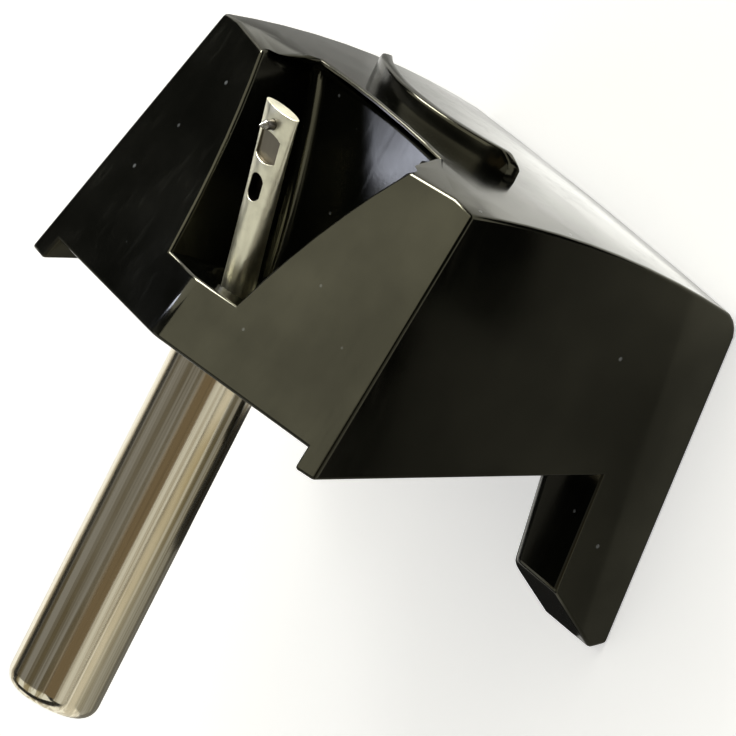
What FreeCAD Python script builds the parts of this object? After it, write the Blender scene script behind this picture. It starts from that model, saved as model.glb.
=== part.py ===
"""A plug-in turntable stylus, tip up, lying on the flat back of its holder.

Millimetres. The origin is on the axis of the metal tube, at the seat face where the tube leaves
the holder. +Y runs along the tube to its free end, +Z points to the record side.
"""

import FreeCAD
import Part
import Sketcher
import math
import os

SIZES = {
    # Holder, outside: widths, depths and heights are taken from the seat face and the tube axis.
    "half_front": 5.5,
    "side_flare": 0.108,
    "crown_depth": 6.87,
    "crown_drop": 2.63,
    "rim_bulge_depth": 0.6,
    "crown_bulge_depth": 0.3,
    "foot_bulge_depth": 0.05,
    "foot_lean": 0.87,
    "back_drop": 9.8,
    "back_edge_round": 0.7,
    "ridge_height": 2.44,
    "ridge_slope": 0.225,
    "keel_slope": 0.18,
    "ridge_round": 1.2,
    # Holder, rear: the slanting wall edges, the two prongs and the room for the cartridge nose.
    "wall": 0.7,
    "wall_lean": 0.22,
    "wall_edge_depth": 0.25,
    "prong_reach": 2.6,
    "prong_nose": 0.22,
    "prong_nose_rise": 0.47,
    "prong_end_slant": 1.13,
    "prong_height": 2.3,
    "prong_root_width": 2.6,
    "prong_end_width": 1.95,
    "prong_round": 0.6,
    "back_plate": 0.9,
    "front_wall": 0.9,
    "nose_roof_drop": 2.4,
    # Holder, record side: the trough, the leaning brow with its low rim, and the finger lip.
    "trough_rear": 1.74,
    "trough_rear_half": 1.45,
    "trough_front_half": 3.3,
    "trough_side_hollow": 0.2,
    "trough_floor_drop": 1.6,
    "trough_floor_round": 0.3,
    "rim_wall": 0.45,
    "rim_run": 0.27,
    "rim_drop": 1.05,
    "rim_low_half": 2.7,
    "rim_high_half": 3.0,
    "brow_run": 0.15,
    "brow_level": 0.37,
    "brow_lean": 0.35,
    "lip_half": 2.9,
    "lip_drop": 1.75,
    "lip_arch": 1.2,
    "lip_height": 0.4,
    "lip_reach": 0.55,
    "lip_bow": 0.15,
    "lip_end_slant": 0.25,
    # Tube and its seat.
    "tube_radius": 1.2,
    "tube_wall": 0.2,
    "tube_reach": 9.76,
    "tube_seat": 1.0,
    "tube_end_round": 0.45,
    "tube_collar": 0.2,
    "tube_glue": 0.02,
    "exit_cone": 0.3,
    # Suspension at the pivot of the cantilever.
    "pivot_depth": 0.2,
    "rake_angle": 16.3,
    "sleeve_half": 0.5,
    "sleeve_wall": 0.12,
    "ring_half_length": 0.42,
    "ring_play": 0.03,
    "ring_bore_play": 0.02,
    "ring_bore_angle": 6.0,
    # Cantilever, magnet and tip: along the cantilever from its pivot, set back from its end or tip.
    "lever_radius": 0.42,
    "lever_round_end": 2.4,
    "lever_reach": 6.9,
    "lever_tail": 0.6,
    "lever_tip_half": 0.67,
    "lever_tip_thick": 0.36,
    "recess_setback": 0.62,
    "recess_half_width": 0.4,
    "recess_half_length": 0.4,
    "recess_end_bow": 0.1,
    "recess_depth": 0.12,
    "window_setback": 1.7,
    "window_half_width": 0.24,
    "window_half_length": 0.36,
    "window_end_bow": 0.16,
    "window_depth": 0.26,
    "magnet_length": 1.0,
    "tip_setback": 0.4,
    "shank_radius": 0.13,
    "shank_glue": 0.01,
    "shank_rise": 0.22,
    "diamond_rise": 0.18,
    "diamond_point": 0.02,
    # How far a cut runs past the part.
    "cut_margin": 2.0,
}


class Size:
    """A length or ratio that keeps its value and the sheet expression it came from."""

    def __init__(self, value, text):
        self.value = value
        self.text = text

    def __add__(self, other):
        other = plain(other)
        return Size(self.value + other.value, f"({self.text} + {other.text})")

    def __sub__(self, other):
        other = plain(other)
        return Size(self.value - other.value, f"({self.text} - {other.text})")

    def __mul__(self, other):
        other = plain(other)
        return Size(self.value * other.value, f"({self.text} * {other.text})")

    def __truediv__(self, other):
        other = plain(other)
        return Size(self.value / other.value, f"({self.text} / {other.text})")

    def __neg__(self):
        return Size(-self.value, f"(0 - {self.text})")


def plain(number):
    return number if isinstance(number, Size) else Size(float(number), str(float(number)))


def root(size):
    return Size(math.sqrt(size.value), f"sqrt({size.text})")


def tangent(degrees):
    return Size(math.tan(math.radians(degrees.value)), f"tan({degrees.text} * 1 deg)")


doc = FreeCAD.newDocument("turntable_stylus")
sheet = doc.addObject("Spreadsheet::Sheet", "Sizes")
for row, (alias, number) in enumerate(SIZES.items(), start=1):
    sheet.set(f"A{row}", str(number))
    sheet.setAlias(f"A{row}", alias)
doc.recompute()


def size(alias):
    return Size(float(sheet.get(alias)), f"Sizes.{alias}")


def sagitta(half_chord, radius):
    return radius - root(radius * radius - half_chord * half_chord)


def arc_radius(half_chord, rise):
    return (half_chord * half_chord + rise * rise) / (rise * 2)


def new_body(name):
    body = doc.addObject("PartDesign::Body", name)
    body.Label = name
    return body


def new_sketch(body, name, role, height=None):
    """A sketch on one of the body's own origin planes, raised from it by height."""
    sketch = body.newObject("Sketcher::SketchObject", name)
    plane = next(item for item in body.Origin.OriginFeatures if item.Role == role)
    sketch.AttachmentSupport = [(plane, "")]
    sketch.MapMode = "FlatFace"
    if height is not None:
        sketch.setExpression("AttachmentOffset.Base.z", height.text)
    return sketch


def pin_point(sketch, curve, end, point):
    """Holds one end of a curve at a point given by two sizes."""
    for kind, place in zip(("DistanceX", "DistanceY"), point):
        index = sketch.addConstraint(Sketcher.Constraint(kind, -1, 1, curve, end, place.value))
        sketch.setExpression(f"Constraints[{index}]", place.text)


def outline(sketch, corners):
    """A closed outline: each corner is (x, y) or (x, y, rise), where rise bows the next side to its left."""
    corners = [tuple(plain(number) for number in corner) for corner in corners]
    first = sketch.GeometryCount
    count = len(corners)
    ends = []
    for place, corner in enumerate(corners):
        following = corners[(place + 1) % count]
        start = FreeCAD.Vector(corner[0].value, corner[1].value, 0)
        stop = FreeCAD.Vector(following[0].value, following[1].value, 0)
        if len(corner) == 2:
            sketch.addGeometry(Part.LineSegment(start, stop))
            ends.append((1, 2))
            continue
        run = stop - start
        left = FreeCAD.Vector(-run.y, run.x, 0).normalize()
        middle = (start + stop) * 0.5 + left * corner[2].value
        # A sketch counts every arc as running anticlockwise.
        if corner[2].value > 0:
            sketch.addGeometry(Part.Arc(stop, middle, start))
            ends.append((2, 1))
        else:
            sketch.addGeometry(Part.Arc(start, middle, stop))
            ends.append((1, 2))
    for place, corner in enumerate(corners):
        following = (place + 1) % count
        joint = (first + place, ends[place][1], first + following, ends[following][0])
        sketch.addConstraint(Sketcher.Constraint("Coincident", *joint))
        pin_point(sketch, first + place, ends[place][0], corner[:2])
        if len(corner) == 3:
            over = corners[following]
            across = over[0] - corner[0]
            along = over[1] - corner[1]
            half = root(across * across + along * along) / 2
            rise = corner[2] if corner[2].value > 0 else -corner[2]
            radius = arc_radius(half, rise)
            index = sketch.addConstraint(Sketcher.Constraint("Radius", first + place, radius.value))
            sketch.setExpression(f"Constraints[{index}]", radius.text)


def circle(sketch, centre, radius):
    centre = tuple(plain(number) for number in centre)
    middle = FreeCAD.Vector(centre[0].value, centre[1].value, 0)
    curve = sketch.addGeometry(Part.Circle(middle, FreeCAD.Vector(0, 0, 1), radius.value))
    pin_point(sketch, curve, 3, centre)
    index = sketch.addConstraint(Sketcher.Constraint("Radius", curve, radius.value))
    sketch.setExpression(f"Constraints[{index}]", radius.text)


def ellipse(sketch, half_width, half_height):
    """An ellipse about the sketch's origin, wide along its x axis."""
    wide = FreeCAD.Vector(half_width.value, 0, 0)
    high = FreeCAD.Vector(0, half_height.value, 0)
    curve = sketch.addGeometry(Part.Ellipse(wide, high, FreeCAD.Vector(0, 0, 0)))
    sketch.exposeInternalGeometry(curve)
    sketch.addConstraint(Sketcher.Constraint("Coincident", curve, 3, -1, 1))
    long_axis = curve + 1
    short_axis = curve + 2
    sketch.addConstraint(Sketcher.Constraint("Horizontal", long_axis))
    for axis, half in ((long_axis, half_width), (short_axis, half_height)):
        index = sketch.addConstraint(Sketcher.Constraint("Distance", axis, half.value * 2))
        sketch.setExpression(f"Constraints[{index}]", (half * 2).text)


def bind(feature, name, amount):
    feature.setExpression(name, plain(amount).text)


def extrude(body, kind, sketch, length, other=None, symmetric=False, reverse=False, direction=None):
    """A Pad or Pocket of a sketch; a pocket has to take material away."""
    before = body.Shape.Volume if kind == "PartDesign::Pocket" else 0.0
    feature = body.newObject(kind, sketch.Name + "_form")
    feature.Profile = sketch
    feature.Reversed = reverse
    bind(feature, "Length", length)
    if symmetric:
        feature.SideType = "Symmetric"
    if other is not None:
        feature.SideType = "Two sides"
        bind(feature, "Length2", other)
    if direction is not None:
        feature.UseCustomVector = True
        feature.Direction = FreeCAD.Vector(*(part.value for part in direction))
        bind(feature, "Direction.z", direction[2])
    doc.recompute()
    if kind == "PartDesign::Pocket" and not body.Shape.Volume < before - 1e-6:
        raise RuntimeError(f"{feature.Name} takes nothing away")
    return feature


def pad(body, sketch, length, **options):
    return extrude(body, "PartDesign::Pad", sketch, length, **options)


def pocket(body, sketch, length, **options):
    return extrude(body, "PartDesign::Pocket", sketch, length, **options)


def turn(body, kind, sketch, axis="H_Axis"):
    """A Revolution or Groove of a sketch all the way round one of its axes."""
    feature = body.newObject(kind, sketch.Name + "_form")
    feature.Profile = sketch
    feature.ReferenceAxis = (sketch, [axis])
    feature.Angle = 360.0
    doc.recompute()
    return feature


def round_edges(body, name, radius, wanted):
    """Fillets the edges of the body's tip whose middle point passes the test."""
    base = body.Tip
    found = []
    for number, edge in enumerate(base.Shape.Edges, start=1):
        middle = edge.valueAt((edge.FirstParameter + edge.LastParameter) / 2)
        if wanted(middle, edge):
            found.append(f"Edge{number}")
    if not found:
        raise RuntimeError(f"{name} found no edge")
    feature = body.newObject("PartDesign::Fillet", name)
    feature.Base = (base, found)
    bind(feature, "Radius", radius)
    doc.recompute()
    return feature


# The holder: a black moulding that hoods the nose of the cartridge.
holder = new_body("stylus_holder")
flare = size("side_flare")
crown = size("crown_depth")
rim_bulge = size("rim_bulge_depth")
back = -size("back_drop")
spare = size("cut_margin")
front_limit = crown + rim_bulge + spare
rear_limit = size("prong_reach") + size("prong_nose") + spare
roof_limit = size("ridge_height") + spare


def half_width(depth):
    """Half the outside width of the holder at a place along Y."""
    return size("half_front") + flare * (depth + crown)


plan = new_sketch(holder, "plan", "XY_Plane")
outline(plan, [
    (-half_width(-front_limit), -front_limit),
    (half_width(-front_limit), -front_limit),
    (half_width(rear_limit), rear_limit),
    (-half_width(rear_limit), rear_limit),
])
pad(holder, plan, roof_limit, other=size("back_drop"))

# The front face is crowned from top to bottom, and its bulge from side to side fades towards the foot.
front_half = half_width(rear_limit) + spare
front_far = -(front_limit + spare)
front_radius = arc_radius(size("back_drop") - size("crown_drop"), size("foot_lean"))


def before_front(name, height, bulge):
    """A plan of the room before the front face at one height."""
    section = new_sketch(holder, name, "XY_Plane", height)
    sag = sagitta(front_half, arc_radius(size("half_front"), bulge))
    lean_back = sagitta(height + size("crown_drop"), front_radius)
    arc_end = sag + lean_back - crown - bulge
    outline(section, [
        (-front_half, arc_end, -sag),
        (front_half, arc_end),
        (front_half, front_far),
        (-front_half, front_far),
    ])
    return section


front_rim = before_front("front_rim", roof_limit, rim_bulge)
front_crown = before_front("front_crown", -size("crown_drop"), size("crown_bulge_depth"))
front_foot = before_front("front_foot", back, size("foot_bulge_depth"))
doc.recompute()
front_face = holder.newObject("PartDesign::SubtractiveLoft", "front_face")
front_face.Profile = front_rim
front_face.Sections = [front_crown, front_foot]
doc.recompute()

# The rear: slanting wall edges above, the underside and end of the prongs below.
prong_top = back + size("prong_height")
edge_depth = size("wall_edge_depth")
lean = size("wall_lean")
prong_end = size("prong_reach") + size("prong_nose")
rear_view = new_sketch(holder, "rear_view", "YZ_Plane")
outline(rear_view, [
    (edge_depth + lean * prong_top, prong_top),
    (prong_end - size("prong_end_slant"), prong_top),
    (prong_end, back + size("prong_nose_rise")),
    (size("prong_reach"), back),
    (size("prong_reach"), back - spare),
    (rear_limit + spare, back - spare),
    (rear_limit + spare, roof_limit + spare),
    (edge_depth + lean * (roof_limit + spare), roof_limit + spare),
])
side_room = (half_width(rear_limit) + spare) * 2
pocket(holder, rear_view, side_room, symmetric=True)

# The record side is a low roof whose ridge rises towards the tube.
ridge = size("ridge_height")
roof_half = half_width(rear_limit) + spare
roof_foot = ridge - size("keel_slope") * roof_half
roof_run = front_limit + rear_limit
roof_top = roof_limit + size("ridge_slope") * roof_run
roof = new_sketch(holder, "roof", "XZ_Plane")
outline(roof, [
    (-roof_half, roof_foot),
    (plain(0), ridge),
    (roof_half, roof_foot),
    (roof_half, roof_top),
    (-roof_half, roof_top),
])
ridge_run = (plain(0), plain(1), size("ridge_slope"))
pocket(holder, roof, roof_run * 2, symmetric=True, direction=ridge_run)
round_edges(
    holder, "ridge_rounding", size("ridge_round"),
    lambda middle, edge: abs(middle.x) < 1e-3 and abs(edge.tangentAt(edge.FirstParameter).y) > 0.9
    and middle.z > 0,
)

# The brow: above its crown the front face leans back to the front edge of the roof.
brow_level = size("brow_level")
brow_foot = -size("crown_drop")
brow_top = roof_limit + spare


def brow_depth(level):
    """The place along Y of the leaning brow at a level."""
    return size("brow_run") + size("brow_lean") * (level - brow_level) - crown


brow = new_sketch(holder, "brow", "YZ_Plane")
outline(brow, [
    (brow_depth(brow_foot), brow_foot),
    (brow_depth(brow_top), brow_top),
    (front_far, brow_top),
    (front_far, brow_foot),
])
pocket(holder, brow, side_room, symmetric=True)

# The rim: a notch before the trough lowers the front wall between its two corners.
rim_low = size("rim_low_half")
rim_high = size("rim_high_half")
rim = new_sketch(holder, "rim", "XZ_Plane", crown - size("rim_run"))
outline(rim, [
    (-rim_low, -size("rim_drop")),
    (rim_low, -size("rim_drop")),
    (rim_high, brow_level),
    (rim_high, brow_top),
    (-rim_high, brow_top),
    (-rim_high, brow_level),
])
pocket(holder, rim, front_limit, reverse=True)

# The open trough, in which the cantilever lies, widens towards the front rim.
trough_half = size("trough_front_half")
trough_sag = sagitta(trough_half, arc_radius(size("half_front"), rim_bulge))
trough_front = size("rim_wall") + trough_sag - crown - rim_bulge
trough_floor = -size("trough_floor_drop")
trough = new_sketch(holder, "trough", "XY_Plane", trough_floor)
outline(trough, [
    (-size("trough_rear_half"), -size("trough_rear"), size("trough_side_hollow")),
    (-trough_half, trough_front, -trough_sag),
    (trough_half, trough_front, size("trough_side_hollow")),
    (size("trough_rear_half"), -size("trough_rear")),
])
pocket(holder, trough, roof_limit + size("trough_floor_drop") + spare, reverse=True)

# Behind the seat face only the side walls go on, and below it is the room for the cartridge nose.
wall = size("wall")
seat_depth = plain(0)
nose_front = size("front_wall") - crown
nose_roof = -size("nose_roof_drop")
seat = new_sketch(holder, "seat", "XY_Plane", prong_top)
outline(seat, [
    (wall - half_width(seat_depth), seat_depth),
    (half_width(seat_depth) - wall, seat_depth),
    (half_width(rear_limit) - wall, rear_limit),
    (wall - half_width(rear_limit), rear_limit),
])
pocket(holder, seat, roof_limit - prong_top, reverse=True)
nose = new_sketch(holder, "nose", "XY_Plane", prong_top)
outline(nose, [
    (wall - half_width(nose_front), nose_front),
    (half_width(nose_front) - wall, nose_front),
    (half_width(rear_limit) - wall, rear_limit),
    (wall - half_width(rear_limit), rear_limit),
])
pocket(holder, nose, nose_roof - prong_top, reverse=True)

# Between the prongs the floor is open behind the back plate, and only the plate is left before it.
prong_root = edge_depth + lean * prong_top
gap_root = half_width(prong_root) - size("prong_root_width")
gap_end = half_width(prong_end) - size("prong_end_width")
gap = new_sketch(holder, "prong_gap", "XY_Plane", back)
outline(gap, [
    (-gap_root, prong_root),
    (gap_root, prong_root),
    (gap_end, prong_end),
    (gap_end, rear_limit),
    (-gap_end, rear_limit),
    (-gap_end, prong_end),
])
pocket(holder, gap, size("prong_height") + spare, reverse=True)
floor_gap = new_sketch(holder, "floor_gap", "XY_Plane", back + size("back_plate"))
outline(floor_gap, [
    (-gap_root, nose_front),
    (gap_root, nose_front),
    (gap_root, prong_root + spare),
    (-gap_root, prong_root + spare),
])
pocket(holder, floor_gap, size("prong_height"), reverse=True)

# The bore for the tube ends in a shoulder and opens as a cone into the trough.
tube_radius = size("tube_radius")
collar_radius = tube_radius + size("tube_collar")
bore_radius = collar_radius + size("tube_glue")
tube_bore = tube_radius - size("tube_wall")
exit_depth = -size("trough_rear") - size("trough_floor_round") / 2
bore = new_sketch(holder, "bore", "YZ_Plane")
outline(bore, [
    (exit_depth, plain(0)),
    (rear_limit, plain(0)),
    (rear_limit, bore_radius),
    (-size("tube_seat"), bore_radius),
    (-size("tube_seat"), tube_bore),
    (exit_depth, tube_bore + size("exit_cone")),
])
turn(holder, "PartDesign::Groove", bore)

# The finger lip is an arched blade on the front face, bowed along its edge like the face itself.
lip_half = size("lip_half")
lip_arch = size("lip_arch")
lip_height = size("lip_height")
lip_end_level = -size("lip_drop") - lip_arch
lip_root = crown - size("front_wall") / 2
lip_edge = -(crown + size("crown_bulge_depth") + size("lip_reach"))
lip = new_sketch(holder, "lip", "XZ_Plane", lip_root)
outline(lip, [
    (-lip_half, lip_end_level - lip_height, lip_arch),
    (lip_half, lip_end_level - lip_height),
    (lip_half, lip_end_level, -lip_arch),
    (-lip_half, lip_end_level),
])
pad(holder, lip, -lip_edge - lip_root)
lip_corner = size("lip_end_slant")
lip_side = lip_half + spare
lip_plan = new_sketch(holder, "lip_plan", "XY_Plane", lip_end_level - lip_height - spare)
outline(lip_plan, [
    (-lip_side, lip_edge + lip_corner),
    (-lip_half, lip_edge + lip_corner),
    (lip_corner - lip_half, lip_edge, -size("lip_bow")),
    (lip_half - lip_corner, lip_edge),
    (lip_half, lip_edge + lip_corner),
    (lip_side, lip_edge + lip_corner),
    (lip_side, lip_edge - spare),
    (-lip_side, lip_edge - spare),
])
pocket(holder, lip_plan, lip_arch + lip_height + spare * 2, reverse=True)

# Mould rounding: the foot of the front face, the inner edges of the prongs, and the trough's floor
# along its sides and front.
TOUCH = 1e-3
round_edges(
    holder, "back_edge_rounding", size("back_edge_round"),
    lambda middle, edge: abs(middle.z - back.value) < TOUCH and middle.y < nose_front.value
    and abs(middle.x) < TOUCH,
)
round_edges(
    holder, "prong_rounding", size("prong_round"),
    lambda middle, edge: abs(middle.z - prong_top.value) < TOUCH and middle.y > prong_root.value
    and gap_root.value - TOUCH < abs(middle.x) < gap_end.value
    and abs(edge.tangentAt(edge.FirstParameter).y) > abs(edge.tangentAt(edge.FirstParameter).x),
)
round_edges(
    holder, "trough_floor_rounding", size("trough_floor_round"),
    lambda middle, edge: abs(middle.z - trough_floor.value) < TOUCH
    and middle.y < -size("trough_rear").value - TOUCH,
)

# The tube: thin plated metal, held in the holder by a collar, with its free end drawn in to a rounded mouth.
tube_end = size("tube_reach")
end_round = size("tube_end_round")
inner_round = end_round - size("tube_wall")
quarter = plain(1) - root(plain(0.5))
tube = new_body("stylus_tube")
tube_wall = new_sketch(tube, "tube_section", "YZ_Plane")
outline(tube_wall, [
    (-size("tube_seat"), tube_bore),
    (tube_end - end_round, tube_bore, inner_round * quarter),
    (tube_end - size("tube_wall"), tube_radius - end_round),
    (tube_end, tube_radius - end_round, -(end_round * quarter)),
    (tube_end - end_round, tube_radius),
    (plain(0), tube_radius),
    (plain(0), collar_radius),
    (-size("tube_seat"), collar_radius),
])
turn(tube, "PartDesign::Revolution", tube_wall)

# The bearing sleeve: a metal ring inside the tube, hollowed round the pivot as a seat for the rubber.
pivot = size("pivot_depth")
sleeve_half = size("sleeve_half")
seat_radius = tube_bore - size("sleeve_wall")
sleeve_mouth = root(seat_radius * seat_radius - sleeve_half * sleeve_half)
sleeve = new_body("bearing_sleeve")
sleeve_section = new_sketch(sleeve, "sleeve_section", "YZ_Plane")
outline(sleeve_section, [
    (pivot - sleeve_half, sleeve_mouth, seat_radius - sleeve_mouth),
    (pivot + sleeve_half, sleeve_mouth),
    (pivot + sleeve_half, tube_bore),
    (pivot - sleeve_half, tube_bore),
])
turn(sleeve, "PartDesign::Revolution", sleeve_section)


def at_pivot(body):
    """Sets a body that is drawn along the cantilever at the pivot, raked towards the record."""
    body.Placement = FreeCAD.Placement(
        FreeCAD.Vector(0, pivot.value, 0),
        FreeCAD.Rotation(FreeCAD.Vector(-1, 0, 0), size("rake_angle").value),
    )
    body.setExpression("Placement.Base.y", pivot.text)
    body.setExpression("Placement.Rotation.Angle", size("rake_angle").text)


# The suspension ring: rubber, ball-shaped outside, with a waisted bore that grips the cantilever.
ring_half = size("ring_half_length")
ring_radius = seat_radius - size("ring_play")
ring_edge = root(ring_radius * ring_radius - ring_half * ring_half)
lever_radius = size("lever_radius")
waist = lever_radius + size("ring_bore_play")
bore_rise = ring_half * tangent(size("ring_bore_angle"))
ring = new_body("suspension_ring")
ring_section = new_sketch(ring, "ring_section", "YZ_Plane")
outline(ring_section, [
    (-ring_half, waist + bore_rise, -bore_rise),
    (ring_half, waist + bore_rise),
    (ring_half, ring_edge, -(ring_radius - ring_edge)),
    (-ring_half, ring_edge),
])
turn(ring, "PartDesign::Revolution", ring_section)
at_pivot(ring)

# The cantilever: a drawn metal lever, round at the rubber and pressed flat towards the tip.
round_end = size("lever_round_end")
reach = size("lever_reach")
tip_place = reach - size("tip_setback")
tail = size("lever_tail")
tip_thick_half = size("lever_tip_thick") / 2


def lever_half_thick(place):
    """Half the thickness of the cantilever at a place along its flattened stretch."""
    return lever_radius + (tip_thick_half - lever_radius) * (place - round_end) / (reach - round_end)


lever = new_body("cantilever")
lever_root = new_sketch(lever, "lever_root", "XZ_Plane", -tail)
circle(lever_root, (0, 0), lever_radius)
pad(lever, lever_root, tail + round_end)
lever_neck = new_sketch(lever, "lever_neck", "XZ_Plane", round_end)
circle(lever_neck, (0, 0), lever_radius)
lever_tip = new_sketch(lever, "lever_tip", "XZ_Plane", reach)
ellipse(lever_tip, size("lever_tip_half"), tip_thick_half)
doc.recompute()
lever_blade = lever.newObject("PartDesign::AdditiveLoft", "lever_blade")
lever_blade.Profile = lever_neck
lever_blade.Sections = [lever_tip]
doc.recompute()


def pressed_slot(name):
    """A slot with bowed ends, sunk into the record side of the cantilever."""
    place = tip_place - size(f"{name}_setback")
    half = size(f"{name}_half_width")
    bow = size(f"{name}_end_bow")
    side_end = size(f"{name}_half_length") - bow
    slot = new_sketch(lever, name, "XY_Plane", lever_half_thick(place) - size(f"{name}_depth"))
    outline(slot, [
        (-half, -place - side_end, -bow),
        (half, -place - side_end),
        (half, -place + side_end, -bow),
        (-half, -place + side_end),
    ])
    pocket(lever, slot, lever_radius, reverse=True)


pressed_slot("recess")
pressed_slot("window")
shank_hole = new_sketch(lever, "shank_hole", "XY_Plane")
circle(shank_hole, (plain(0), -tip_place), size("shank_radius") + size("shank_glue"))
pocket(lever, shank_hole, lever_radius * 2, symmetric=True)
at_pivot(lever)

# The magnet: a plain round slug on the inner end of the cantilever.
magnet = new_body("armature_magnet")
magnet_end = new_sketch(magnet, "magnet_end", "XZ_Plane", -tail)
circle(magnet_end, (0, 0), lever_radius)
pad(magnet, magnet_end, size("magnet_length"), reverse=True)
at_pivot(magnet)

# The shank stands through the flattened end, and the ground diamond sits on top of it.
shank_radius = size("shank_radius")
shank_foot = -tip_thick_half
shank_top = lever_half_thick(tip_place) + size("shank_rise")
shank = new_body("tip_shank")
shank_section = new_sketch(shank, "shank_section", "XZ_Plane", tip_place)
outline(shank_section, [
    (0, shank_foot),
    (shank_radius, shank_foot),
    (shank_radius, shank_top),
    (0, shank_top),
])
turn(shank, "PartDesign::Revolution", shank_section, "V_Axis")
at_pivot(shank)
diamond = new_body("diamond_tip")
diamond_section = new_sketch(diamond, "diamond_section", "XZ_Plane", tip_place)
outline(diamond_section, [
    (0, shank_top),
    (shank_radius, shank_top),
    (size("diamond_point"), shank_top + size("diamond_rise")),
    (0, shank_top + size("diamond_rise")),
])
turn(diamond, "PartDesign::Revolution", diamond_section, "V_Axis")
at_pivot(diamond)

# Every object has to be sound before anything is written.
doc.recompute()
for item in doc.Objects:
    if "Invalid" in item.State or "Error" in item.State:
        raise RuntimeError(f"{item.Name} is {item.State}")
pieces = [item for item in doc.Objects if item.TypeId == "PartDesign::Body"]
for piece in pieces:
    if piece.Shape.isNull() or not piece.Shape.isValid() or len(piece.Shape.Solids) != 1:
        raise RuntimeError(f"{piece.Label} is not one sound solid")
os.makedirs("parts", exist_ok=True)
for piece in pieces:
    piece.Shape.exportStep(f"parts/{piece.Label}.step")
    print(piece.Label, round(piece.Shape.Volume, 4))
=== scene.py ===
"""The looks of a plug-in turntable stylus, tip up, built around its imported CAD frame."""

import math

import bmesh
import bpy
from mathutils import Matrix, Vector


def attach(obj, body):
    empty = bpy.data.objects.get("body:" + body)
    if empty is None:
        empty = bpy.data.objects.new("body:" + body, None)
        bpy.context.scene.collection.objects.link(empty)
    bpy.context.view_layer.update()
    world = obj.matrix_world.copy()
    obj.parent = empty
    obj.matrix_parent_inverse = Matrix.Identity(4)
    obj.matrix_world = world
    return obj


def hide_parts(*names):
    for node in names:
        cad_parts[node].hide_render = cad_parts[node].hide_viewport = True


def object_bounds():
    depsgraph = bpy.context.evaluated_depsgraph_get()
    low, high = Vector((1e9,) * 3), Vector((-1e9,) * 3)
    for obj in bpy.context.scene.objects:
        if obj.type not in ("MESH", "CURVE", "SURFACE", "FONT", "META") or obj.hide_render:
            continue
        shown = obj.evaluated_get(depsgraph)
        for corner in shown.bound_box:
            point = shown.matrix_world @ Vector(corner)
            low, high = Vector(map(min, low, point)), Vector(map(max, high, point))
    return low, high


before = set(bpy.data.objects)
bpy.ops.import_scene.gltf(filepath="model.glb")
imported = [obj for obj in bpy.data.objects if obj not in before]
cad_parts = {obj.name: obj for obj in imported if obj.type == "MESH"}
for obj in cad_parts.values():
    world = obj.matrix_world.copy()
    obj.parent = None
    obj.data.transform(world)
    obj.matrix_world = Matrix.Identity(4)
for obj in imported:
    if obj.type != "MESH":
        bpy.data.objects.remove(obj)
cad_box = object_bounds()

# The holder is one black styrene moulding with a finger lip, an open trough and two rear prongs.
# Its mould was polished, so it is glossy, with all outer edges slightly rounded.
# Handling has left a film, smudges and hairline scratches on it, and a few specks of dust.
MM = 0.001
HOLDER_BLACK = (0.002, 0.0022, 0.0016, 1)
HOLDER_SHEEN = (1, 0.96, 0.68, 1)
HOLDER_EDGE_ROUND = 0.1 * MM
HOLDER_SHARP_DEGREES = 24
DUST_GREY = (0.16, 0.17, 0.18, 1)
EVEN = (1, 1, 1)
MERGE_DISTANCE = 0.0005 * MM
STUB_LENGTH = 0.45 * MM
COPLANAR_ANGLE = math.radians(0.3)
KNIFE_ANGLE = math.radians(150)
SMOOTH_ANGLE = math.radians(40)
ROUND_SEGMENTS = 3


def finished_copy(node_name, piece_name, edge_round, sharp_degrees=40):
    """A merged copy of a CAD node whose outer edges are rounded, standing for that node.

    Knife edges stay as they are, and so do short stubs of an edge that end in an inner corner.
    """
    piece = bpy.data.objects.new(piece_name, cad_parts[node_name].data.copy())
    bpy.context.scene.collection.objects.link(piece)
    bpy.ops.object.select_all(action="DESELECT")
    bpy.context.view_layer.objects.active = piece
    piece.select_set(True)
    bpy.ops.object.mode_set(mode="EDIT")
    bpy.ops.mesh.select_mode(type="EDGE")
    bpy.ops.mesh.select_all(action="SELECT")
    bpy.ops.mesh.customdata_custom_splitnormals_clear()
    bpy.ops.mesh.remove_doubles(threshold=MERGE_DISTANCE)
    bpy.ops.mesh.dissolve_limited(angle_limit=COPLANAR_ANGLE)
    bpy.ops.mesh.select_all(action="DESELECT")
    sharp = math.radians(sharp_degrees)
    edges = bmesh.from_edit_mesh(piece.data).edges
    bends = {edge: edge.calc_face_angle_signed(0) for edge in edges}
    inner_corners = {v for edge, bend in bends.items() if bend < -sharp for v in edge.verts}
    for edge, bend in bends.items():
        stub = edge.calc_length() < STUB_LENGTH and not inner_corners.isdisjoint(edge.verts)
        edge.select_set(sharp < bend < KNIFE_ANGLE and not stub)
    bpy.ops.mesh.bevel(
        offset=edge_round, segments=ROUND_SEGMENTS, affect="EDGES", clamp_overlap=False
    )
    bpy.ops.object.mode_set(mode="OBJECT")
    bpy.ops.object.shade_smooth_by_angle(angle=SMOOTH_ANGLE)
    flatten = piece.modifiers.new("flat_faces", "WEIGHTED_NORMAL")
    flatten.keep_sharp = True
    bpy.ops.object.modifier_apply(modifier=flatten.name)
    piece.data.materials.clear()
    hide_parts(node_name)
    return piece


def new_material(name, **sockets):
    """A material with one Principled shader whose constant sockets are set here."""
    material = bpy.data.materials.new(name)
    material.use_nodes = True
    shader = material.node_tree.nodes["Principled BSDF"]
    for socket, value in sockets.items():
        shader.inputs[socket.replace("_", " ")].default_value = value
    return material, material.node_tree, shader


def feed(tree, socket, value):
    """A socket given a constant, or a link from another node."""
    if isinstance(value, bpy.types.NodeSocket):
        tree.links.new(value, socket)
    else:
        socket.default_value = value


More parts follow.
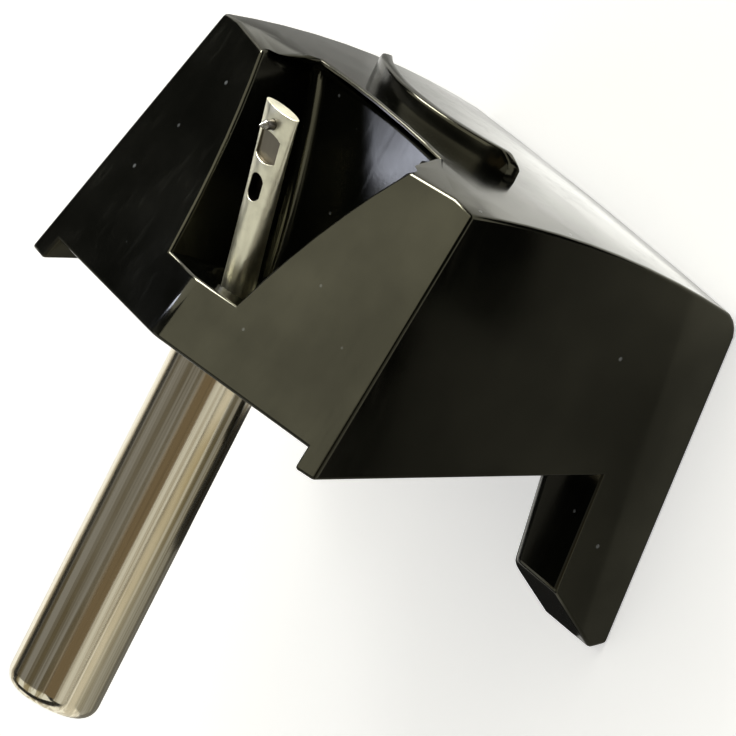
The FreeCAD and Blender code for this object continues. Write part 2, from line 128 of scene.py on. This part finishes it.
def remap(tree, source, low, high, to_low, to_high):
    """A value that goes from to_low to to_high while the source goes from low to high."""
    node = tree.nodes.new("ShaderNodeMapRange")
    names = ("Value", "From Min", "From Max", "To Min", "To Max")
    for name, value in zip(names, (source, low, high, to_low, to_high)):
        feed(tree, node.inputs[name], value)
    return node.outputs["Result"]


def combine(tree, operation, first, second):
    """One number made from two."""
    node = tree.nodes.new("ShaderNodeMath")
    node.operation = operation
    feed(tree, node.inputs[0], first)
    feed(tree, node.inputs[1], second)
    return node.outputs["Value"]


def mixed_colour(tree, mask, first, second):
    """A colour that is first where the mask is 0 and second where it is 1."""
    node = tree.nodes.new("ShaderNodeMix")
    node.data_type = "RGBA"
    factor, colour_a, colour_b = node.inputs[0], node.inputs[6], node.inputs[7]
    feed(tree, factor, mask)
    feed(tree, colour_a, first)
    feed(tree, colour_b, second)
    return node.outputs[2]


def roughen(tree, shader, height, distance, strength):
    """Fine relief on a surface, from a height value."""
    bump = tree.nodes.new("ShaderNodeBump")
    bump.inputs["Strength"].default_value = strength
    bump.inputs["Distance"].default_value = distance
    feed(tree, bump.inputs["Height"], height)
    feed(tree, shader.inputs["Normal"], bump.outputs["Normal"])


def new_group(name, inputs, outputs):
    """A shader node group with named sockets, and the sockets at its two ends inside."""
    group = bpy.data.node_groups.new(name, "ShaderNodeTree")
    for in_out, sockets in (("INPUT", inputs), ("OUTPUT", outputs)):
        for socket, kind in sockets.items():
            group.interface.new_socket(socket, in_out=in_out, socket_type="NodeSocket" + kind)
    start = group.nodes.new("NodeGroupInput")
    end = group.nodes.new("NodeGroupOutput")
    return group, start.outputs, end.inputs


def place_group(tree, group, **values):
    """A node group placed in a material with its own values."""
    node = tree.nodes.new("ShaderNodeGroup")
    node.node_tree = group
    for socket, value in values.items():
        node.inputs[socket.replace("_", " ")].default_value = value
    return node.outputs


def mottle_group():
    """Grain on Object coordinates, drawn out along the axes where Stretch is small.

    Colour turns to Patch Colour while the grain goes from Low to High.
    Roughness goes from Smooth to Rough over the middle of the grain.
    """
    group, given, made = new_group(
        "mottled_grain",
        {
            "Stretch": "Vector", "Scale": "Float", "Detail": "Float",
            "Low": "Float", "High": "Float", "Colour": "Color", "Patch Colour": "Color",
            "Smooth": "Float", "Rough": "Float",
        },
        {"Colour": "Color", "Roughness": "Float", "Grain": "Float"},
    )
    place = group.nodes.new("ShaderNodeTexCoord")
    mapping = group.nodes.new("ShaderNodeMapping")
    noise = group.nodes.new("ShaderNodeTexNoise")
    feed(group, mapping.inputs["Vector"], place.outputs["Object"])
    feed(group, mapping.inputs["Scale"], given["Stretch"])
    feed(group, noise.inputs["Vector"], mapping.outputs["Vector"])
    feed(group, noise.inputs["Scale"], given["Scale"])
    feed(group, noise.inputs["Detail"], given["Detail"])
    grain = noise.outputs["Fac"]
    patches = remap(group, grain, given["Low"], given["High"], 0, 1)
    colour = mixed_colour(group, patches, given["Colour"], given["Patch Colour"])
    feed(group, made["Colour"], colour)
    feed(group, made["Roughness"], remap(group, grain, 0.3, 0.7, given["Smooth"], given["Rough"]))
    feed(group, made["Grain"], grain)
    return group


mottled_grain = mottle_group()


def add_grain(tree, stretch, scale, detail):
    """The grain alone, as a value."""
    return place_group(tree, mottled_grain, Stretch=stretch, Scale=scale, Detail=detail)["Grain"]


def dust_group():
    """Scattered specks: the mask is 1 on a speck and 0 between them."""
    group, given, made = new_group(
        "dust_specks", {"Scale": "Float", "Share": "Float"}, {"Mask": "Float"}
    )
    place = group.nodes.new("ShaderNodeTexCoord")
    cells = group.nodes.new("ShaderNodeTexVoronoi")
    feed(group, cells.inputs["Vector"], place.outputs["Object"])
    feed(group, cells.inputs["Scale"], given["Scale"])
    spot = remap(group, cells.outputs["Distance"], 0.06, 0.13, 1, 0)
    parts = group.nodes.new("ShaderNodeSeparateColor")
    feed(group, parts.inputs["Color"], cells.outputs["Color"])
    chosen = combine(group, "LESS_THAN", parts.outputs["Red"], given["Share"])
    feed(group, made["Mask"], combine(group, "MULTIPLY", spot, chosen))
    return group


dust_specks = dust_group()
holder = finished_copy("stylus_holder", "holder_moulding", HOLDER_EDGE_ROUND, HOLDER_SHARP_DEGREES)
black_plastic, tree, shader = new_material(
    "black_moulded_plastic", IOR=1.5, Specular_Tint=HOLDER_SHEEN
)
dust = place_group(tree, dust_specks, Scale=1900, Share=0.1)["Mask"]
feed(tree, shader.inputs["Base Color"], mixed_colour(tree, dust, HOLDER_BLACK, DUST_GREY))
smudges = add_grain(tree, EVEN, scale=420, detail=4)
hairlines = add_grain(tree, (1, 0.04, 1), scale=5200, detail=2)
smudged = remap(tree, smudges, 0.35, 0.7, 0.1, 0.2)
scratched = remap(tree, hairlines, 0.55, 0.75, 0, 0.05)
feed(tree, shader.inputs["Roughness"], combine(tree, "ADD", smudged, scratched))
film = add_grain(tree, EVEN, scale=260, detail=5)
feed(tree, shader.inputs["Specular IOR Level"], remap(tree, film, 0.35, 0.65, 0.42, 0.66))
mould_texture = add_grain(tree, EVEN, scale=9000, detail=2)
roughen(tree, shader, mould_texture, distance=0.004 * MM, strength=0.1)
holder.data.materials.append(black_plastic)
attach(holder, "holder")

# The tube is drawn from thin metal and nickel plated, then glued in the holder by its collar.
# Pushing it into the cartridge has left fine streaks along it, and the plating has a warm tarnish.
TUBE_NICKEL = (0.84, 0.78, 0.62, 1)
TUBE_TARNISH = (0.36, 0.29, 0.16, 1)
TUBE_EDGE_ROUND = 0.02 * MM
tube = finished_copy("stylus_tube", "plug_in_tube", TUBE_EDGE_ROUND)
nickel, tree, shader = new_material("nickel_plate", Metallic=1.0)
streaks = add_grain(tree, (1, 0.006, 1), scale=7500, detail=3)
stains = add_grain(tree, (1, 0.25, 1), scale=700, detail=3)
streaked = remap(tree, streaks, 0.42, 0.6, 0, 1)
stained = remap(tree, stains, 0.3, 0.65, 0.4, 1)
tarnish = combine(tree, "MULTIPLY", streaked, stained)
feed(tree, shader.inputs["Base Color"], mixed_colour(tree, tarnish, TUBE_NICKEL, TUBE_TARNISH))
feed(tree, shader.inputs["Roughness"], remap(tree, streaks, 0.35, 0.7, 0.1, 0.24))
roughen(tree, shader, streaks, distance=0.01 * MM, strength=0.25)
tube.data.materials.append(nickel)
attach(tube, "holder")

# The sleeve is a small brass ring, turned on a lathe, with fine tool marks round it.
# It is pressed into the front of the tube, as the seat of the rubber.
SLEEVE_BRASS = (0.72, 0.5, 0.2, 1)
SLEEVE_DULL = (0.4, 0.26, 0.1, 1)
SLEEVE_EDGE_ROUND = 0.01 * MM


def add_mottle(tree, shader, stretch, scale, detail, patches, colours, roughness):
    """The mottled grain as a material's colour and roughness."""
    made = place_group(
        tree, mottled_grain, Stretch=stretch, Scale=scale, Detail=detail,
        Low=patches[0], High=patches[1], Colour=colours[0], Patch_Colour=colours[1],
        Smooth=roughness[0], Rough=roughness[1],
    )
    feed(tree, shader.inputs["Base Color"], made["Colour"])
    feed(tree, shader.inputs["Roughness"], made["Roughness"])


sleeve = finished_copy("bearing_sleeve", "turned_sleeve", SLEEVE_EDGE_ROUND)
brass, tree, shader = new_material("turned_brass", Metallic=1.0)
add_mottle(
    tree, shader, (0.05, 1, 0.05), scale=16000, detail=2,
    patches=(0.4, 0.65), colours=(SLEEVE_BRASS, SLEEVE_DULL), roughness=(0.2, 0.4),
)
sleeve.data.materials.append(brass)
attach(sleeve, "holder")

# The ring is soft black rubber, moulded as a ball with a waisted bore.
# It is held by its own shape in the sleeve and grips the cantilever.
RUBBER_BLACK = (0.012, 0.012, 0.013, 1)
RUBBER_BLOOM = (0.05, 0.05, 0.052, 1)
RING_EDGE_ROUND = 0.02 * MM
ring = finished_copy("suspension_ring", "rubber_ring", RING_EDGE_ROUND)
rubber, tree, shader = new_material("black_rubber", IOR=1.5)
add_mottle(
    tree, shader, EVEN, scale=4000, detail=4,
    patches=(0.4, 0.7), colours=(RUBBER_BLACK, RUBBER_BLOOM), roughness=(0.6, 0.85),
)
ring.data.materials.append(rubber)
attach(ring, "suspension")

# The cantilever is drawn from aluminium alloy, round at the rubber and pressed flat at the tip.
# It is anodised a pale gold; the pressed recess is painted tan and the window near black, as
# painted shade in these hollows.
LEVER_GOLD = (0.82, 0.79, 0.61, 1)
LEVER_STAIN = (0.45, 0.43, 0.33, 1)
RECESS_PAINTED_SHADE = (0.2, 0.18, 0.14, 1)
WINDOW_PAINTED_SHADE = (0.02, 0.015, 0.013, 1)
LEVER_EDGE_ROUND = 0.015 * MM
LEVER_RAKE = math.radians(16.3)
PIVOT = Vector((0, 0.2, 0)) * MM
FLAT_START = 2.4 * MM
FLAT_END = 6.9 * MM
LEVER_RADIUS = 0.42 * MM
END_HALF_WIDTH = 0.67 * MM
END_HALF_THICK = 0.18 * MM
RECESS_START = 5.35 * MM
RECESS_END = 6.34 * MM


def along_axis(tree, axis):
    """How far a point lies from the pivot along an axis."""
    place = tree.nodes.new("ShaderNodeTexCoord")
    dot = tree.nodes.new("ShaderNodeVectorMath")
    dot.operation = "DOT_PRODUCT"
    dot.inputs[1].default_value = axis
    feed(tree, dot.inputs[0], place.outputs["Object"])
    return combine(tree, "SUBTRACT", dot.outputs["Value"], PIVOT.dot(axis))


lever = finished_copy("cantilever", "cantilever_lever", LEVER_EDGE_ROUND)
gold_alloy, tree, shader = new_material("pale_gold_alloy", Metallic=1.0)
reach = along_axis(tree, Vector((0, -math.cos(LEVER_RAKE), math.sin(LEVER_RAKE))))
height = along_axis(tree, Vector((0, math.sin(LEVER_RAKE), math.cos(LEVER_RAKE))))
side = along_axis(tree, Vector((1, 0, 0)))
half_width = remap(tree, reach, FLAT_START, FLAT_END, LEVER_RADIUS, END_HALF_WIDTH)
half_thick = remap(tree, reach, FLAT_START, FLAT_END, LEVER_RADIUS, END_HALF_THICK)
across = combine(tree, "DIVIDE", side, half_width)
deep = combine(tree, "DIVIDE", height, half_thick)
across_squared = combine(tree, "MULTIPLY", across, across)
deep_squared = combine(tree, "MULTIPLY", deep, deep)
under_skin = remap(tree, combine(tree, "ADD", across_squared, deep_squared), 0.75, 0.9, 1, 0)
before_end = combine(tree, "LESS_THAN", reach, RECESS_END)
before_recess = combine(tree, "LESS_THAN", reach, RECESS_START)
sunk = combine(tree, "MULTIPLY", under_skin, before_end)
in_window = combine(tree, "MULTIPLY", sunk, before_recess)
stains = add_grain(tree, EVEN, scale=1800, detail=4)
skin = mixed_colour(tree, remap(tree, stains, 0.45, 0.75, 0, 0.6), LEVER_GOLD, LEVER_STAIN)
# Painted shade: the sunk recess is painted tan, and the window before it near black.
with_painted_recess_shade = mixed_colour(tree, sunk, skin, RECESS_PAINTED_SHADE)
feed(tree, shader.inputs["Base Color"], mixed_colour(tree, in_window, with_painted_recess_shade, WINDOW_PAINTED_SHADE))
drawn = add_grain(tree, (1, 0.05, 0.2), scale=9000, detail=3)
feed(tree, shader.inputs["Roughness"], remap(tree, drawn, 0.3, 0.7, 0.28, 0.45))
roughen(tree, shader, drawn, distance=0.006 * MM, strength=0.2)
lever.data.materials.append(gold_alloy)
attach(lever, "stylus")

# The magnet is a round slug, sintered from dark grey grains that glint here and there.
# It is glued on the inner end of the cantilever, inside the tube.
MAGNET_GREY = (0.1, 0.1, 0.105, 1)
MAGNET_GLINT = (0.3, 0.3, 0.31, 1)
MAGNET_EDGE_ROUND = 0.015 * MM
magnet = finished_copy("armature_magnet", "magnet_slug", MAGNET_EDGE_ROUND)
sintered, tree, shader = new_material("sintered_magnet", Metallic=0.8)
add_mottle(
    tree, shader, EVEN, scale=15000, detail=2,
    patches=(0.5, 0.65), colours=(MAGNET_GREY, MAGNET_GLINT), roughness=(0.4, 0.65),
)
magnet.data.materials.append(sintered)
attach(magnet, "stylus")

# The shank is a fine steel post with grinding marks along it.
# It is glued through the flattened end of the cantilever and carries the diamond.
SHANK_STEEL = (0.16, 0.15, 0.14, 1)
SHANK_DARK = (0.05, 0.045, 0.04, 1)
SHANK_EDGE_ROUND = 0.01 * MM
shank = finished_copy("tip_shank", "steel_shank", SHANK_EDGE_ROUND)
ground_steel, tree, shader = new_material("ground_steel", Metallic=1.0)
add_mottle(
    tree, shader, (1, 1, 0.1), scale=24000, detail=2,
    patches=(0.4, 0.65), colours=(SHANK_STEEL, SHANK_DARK), roughness=(0.25, 0.45),
)
shank.data.materials.append(ground_steel)
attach(shank, "stylus")

# The diamond is clear with brownish clouds, and ground to a cone with a tiny rounded point.
# It is bonded on the end of the shank.
DIAMOND_CLEAR = (0.82, 0.8, 0.7, 1)
DIAMOND_BROWN = (0.5, 0.42, 0.28, 1)
DIAMOND_EDGE_ROUND = 0.005 * MM
diamond = finished_copy("diamond_tip", "ground_diamond", DIAMOND_EDGE_ROUND)
clear_diamond, tree, shader = new_material("clear_diamond", IOR=2.4, Transmission_Weight=0.7)
add_mottle(
    tree, shader, EVEN, scale=9000, detail=3,
    patches=(0.4, 0.65), colours=(DIAMOND_CLEAR, DIAMOND_BROWN), roughness=(0.05, 0.2),
)
diamond.data.materials.append(clear_diamond)
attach(diamond, "stylus")

# The floor is a plain white sheet of paper under the holder's flat back.
# It glows a little for the camera and in reflections, so it reads as white and keeps its shadows.
FLOOR_WHITE = (0.85, 0.85, 0.85, 1)
FLOOR_FIBRE = (0.84, 0.84, 0.835, 1)
FLOOR_WIDTH = 4.0
FLOOR_GLOW = 0.5
bpy.ops.object.select_all(action="DESELECT")
bpy.ops.mesh.primitive_plane_add(size=FLOOR_WIDTH, location=(0, 0, cad_box[0].z))
floor = bpy.context.object
floor.name = "floor"
floor_white, tree, shader = new_material(
    "floor_white", Specular_IOR_Level=0.0, Emission_Color=(1, 1, 1, 1)
)
add_mottle(
    tree, shader, EVEN, scale=60, detail=2,
    patches=(0.3, 0.7), colours=(FLOOR_WHITE, FLOOR_FIBRE), roughness=(0.9, 0.9),
)
rays = tree.nodes.new("ShaderNodeLightPath").outputs
seen = combine(tree, "MAXIMUM", rays["Is Camera Ray"], rays["Is Glossy Ray"])
seen = combine(tree, "MAXIMUM", seen, rays["Is Transmission Ray"])
feed(tree, shader.inputs["Emission Strength"], combine(tree, "MULTIPLY", seen, FLOOR_GLOW))
floor.data.materials.append(floor_white)

# Cards lie flat by the holder and show only in its gloss, as painted reflections and painted
# shade:
# white and glowing before the front face, grey fading to black beside the side wall, black by the
# front corner, dark at the prongs, and a small cool glowing one painted as a bright patch in the
# trough.
CARD_LEVEL = -9.75 * MM
OVER_CARD_LEVEL = -9.7 * MM
SHADE_CARD_LEVEL = -5 * MM
TROUGH_CARD_LEVEL = 12 * MM
WARM_WHITE = (1, 1, 0.96, 1)
COOL_BLUE = (0.64, 0.69, 1, 1)
BLACK = (0.01, 0.01)
NO_GLOW = (0, 0)


def add_card(
    name, low, high, shades, glows=NO_GLOW, fade=None, level=CARD_LEVEL, tint=WARM_WHITE
):
    """A flat card between two corners in millimetres, seen in reflections alone.

    Its shade and glow change along X, over the fade, or else over the whole card.
    """
    middle = (Vector(low) + Vector(high)) / 2 * MM
    bpy.ops.object.select_all(action="DESELECT")
    bpy.ops.mesh.primitive_plane_add(size=1.0, location=(middle.x, middle.y, level))
    card = bpy.context.object
    card.name = name
    card.scale = ((high[0] - low[0]) * MM, (high[1] - low[1]) * MM, 1)
    bpy.ops.object.transform_apply(location=True, rotation=False, scale=True)
    card.visible_camera = False
    card.visible_diffuse = False
    card.visible_shadow = False
    card.visible_transmission = False
    board, tree, shader = new_material(
        name, Roughness=1.0, Specular_IOR_Level=0.0, Emission_Color=tint
    )
    place = tree.nodes.new("ShaderNodeTexCoord")
    split = tree.nodes.new("ShaderNodeSeparateXYZ")
    feed(tree, split.inputs["Vector"], place.outputs["Object"])
    fade_start, fade_end = fade or (low[0], high[0])
    faded = remap(tree, split.outputs["X"], fade_start * MM, fade_end * MM, 0, 1)
    first, last = ((shade, shade, shade, 1) for shade in shades)
    feed(tree, shader.inputs["Base Color"], mixed_colour(tree, faded, first, last))
    feed(tree, shader.inputs["Emission Strength"], remap(tree, faded, 0, 1, *glows))
    card.data.materials.append(board)


# Glowing cards paint the pale reflection on the front face.
add_card("near_card", (-6, -14), (24, -6.3), (0.6, 0.42), (1.5, 0.08), fade=(2, 10.5))
add_card("front_card", (5, -26), (24, -14), (0.8, 0.8), (0.75, 0.75))
# Grey and black cards paint shade into the gloss of the side wall, the front corner and the
# prongs.
add_card("side_card", (-22, -9), (-5.4, 7), (0.25, 0.68), fade=(-16, -5.4))
add_card("foot_card", (-7.4, -9), (-5.4, 4), (0.7, 0.7), (0.1, 0.4), level=OVER_CARD_LEVEL)
add_card("tube_card", (-26, 7), (-2, 18), (0.95, 0.6), (0.1, 0), fade=(-26, -8))
add_card("under_card", (-2, 7), (8, 18), (0.3, 0.3))
add_card("black_card", (-22, -9), (-13.2, -3.6), BLACK, level=OVER_CARD_LEVEL)
add_card("edge_card", (-22, -3.6), (-16.4, 3), BLACK, level=OVER_CARD_LEVEL)
add_card("corner_card", (-14, -22), (-6.1, -9.2), BLACK, level=OVER_CARD_LEVEL)
add_card("prong_card", (-5.5, 2.9), (5.5, 7), (0.06, 0.06))
add_card("shade_card", (-4.6, -0.5), (-2.4, 3), BLACK, level=SHADE_CARD_LEVEL)
# A painted reflection: this glowing card shows only as a bright cool patch in the trough.
add_card(
    "trough_card", (11.8, -3.2), (14.6, -1.4), (0.1, 0.02), (22, 0), fade=(12.6, 14.6),
    level=TROUGH_CARD_LEVEL, tint=COOL_BLUE,
)

# Soft boxes stand where the photo's gloss shows them: a large one over the front, a broad dim one
# behind the tube, a strip of ceiling, and low ones at both sides of the tube and before the front.
# A brown board warms the tube, and a small key lamp gives the shadow its direction.
CENTRE = (0, 0, 0)


def add_lamp(name, place, aim, width, height, radiance, colour):
    """A soft box of one even brightness, turned to a point."""
    data = bpy.data.lights.new(name, "AREA")
    data.shape = "RECTANGLE"
    data.size = width
    data.size_y = height
    data.energy = radiance * math.pi * width * height
    data.color = colour
    lamp = bpy.data.objects.new(name, data)
    bpy.context.scene.collection.objects.link(lamp)
    lamp.location = place
    lamp.rotation_euler = (Vector(aim) - Vector(place)).to_track_quat("-Z", "Y").to_euler()
    return lamp


add_lamp("over_box", (0.1, -0.215, 0.25), (0.1, -0.215, 0), 0.44, 0.39, 1.75, (1, 0.98, 0.88))
add_lamp("rear_box", (0.08, 0.27, 0.26), (0.08, 0, 0), 0.7, 0.26, 0.75, (1, 1, 0.94))
add_lamp("side_box", (-0.2, 0.05, 0.055), CENTRE, 0.2, 0.1, 0.6, (1, 0.98, 0.9))
add_lamp("ceiling", (0.325, 0.075, 0.25), (0.325, 0.075, 0), 0.95, 0.1, 0.2, (1, 0.97, 0.92))
add_lamp("brown_board", (-0.25, 0.08, 0.25), CENTRE, 0.16, 0.2, 0.14, (1, 0.72, 0.38))
add_lamp("far_box", (0.3, 0.075, 0.015), CENTRE, 0.2, 0.08, 1, (1, 1, 1))
add_lamp("key", (0.168, -0.216, 0.12), CENTRE, 0.07, 0.07, 8, (1, 1, 0.96))
add_lamp("front_box", (0.2, -0.2, 0.05), CENTRE, 0.24, 0.1, 1.3, (1, 1, 0.95))

# A small bright lamp shows only as a glint, on the rounded edges above the front face.
# It lights nothing else, so it leaves the shades of the faces and the floor alone.
glint = add_lamp("glint", (0.156, -0.216, 0.138), CENTRE, 0.12, 0.12, 36, (1, 1, 0.97))
glint.visible_diffuse = False

# The room round the stage is nearly black, so that only the boxes and cards show in the gloss.
# Colours are shown as they are, with no film curve.
ROOM_BLACK = (0.02, 0.02, 0.02, 1)
world = bpy.data.worlds.new("studio")
bpy.context.scene.world = world
world.use_nodes = True
world.node_tree.nodes["Background"].inputs["Color"].default_value = ROOM_BLACK
bpy.context.scene.view_settings.view_transform = "Standard"

# The camera looks down on the holder's corner at the photo's angle.
# It stands far off with a long lens, because the photo's lines hardly converge.
LOOK_AT = Vector((0, -0.62, -4.60)) * MM
CAMERA_DISTANCE = 800 * MM
PICTURE_WIDTH = 18.03 * MM
SENSOR_WIDTH = 36
CLIP_NEAR = 0.01
CLIP_FAR = 10
right = Vector((-0.549, -0.443, -0.709)).normalized()
back = Vector((-0.701, -0.218, 0.679)).normalized()
up = back.cross(right).normalized()
right = up.cross(back).normalized()
camera_data = bpy.data.cameras.new("camera")
camera = bpy.data.objects.new("camera", camera_data)
bpy.context.scene.collection.objects.link(camera)
camera_data.sensor_width = SENSOR_WIDTH
camera_data.lens = SENSOR_WIDTH * CAMERA_DISTANCE / PICTURE_WIDTH
camera_data.clip_start = CLIP_NEAR
camera_data.clip_end = CLIP_FAR
turn = Matrix((right, up, back)).transposed().to_4x4()
camera.matrix_world = Matrix.Translation(LOOK_AT + back * CAMERA_DISTANCE) @ turn
bpy.context.scene.camera = camera
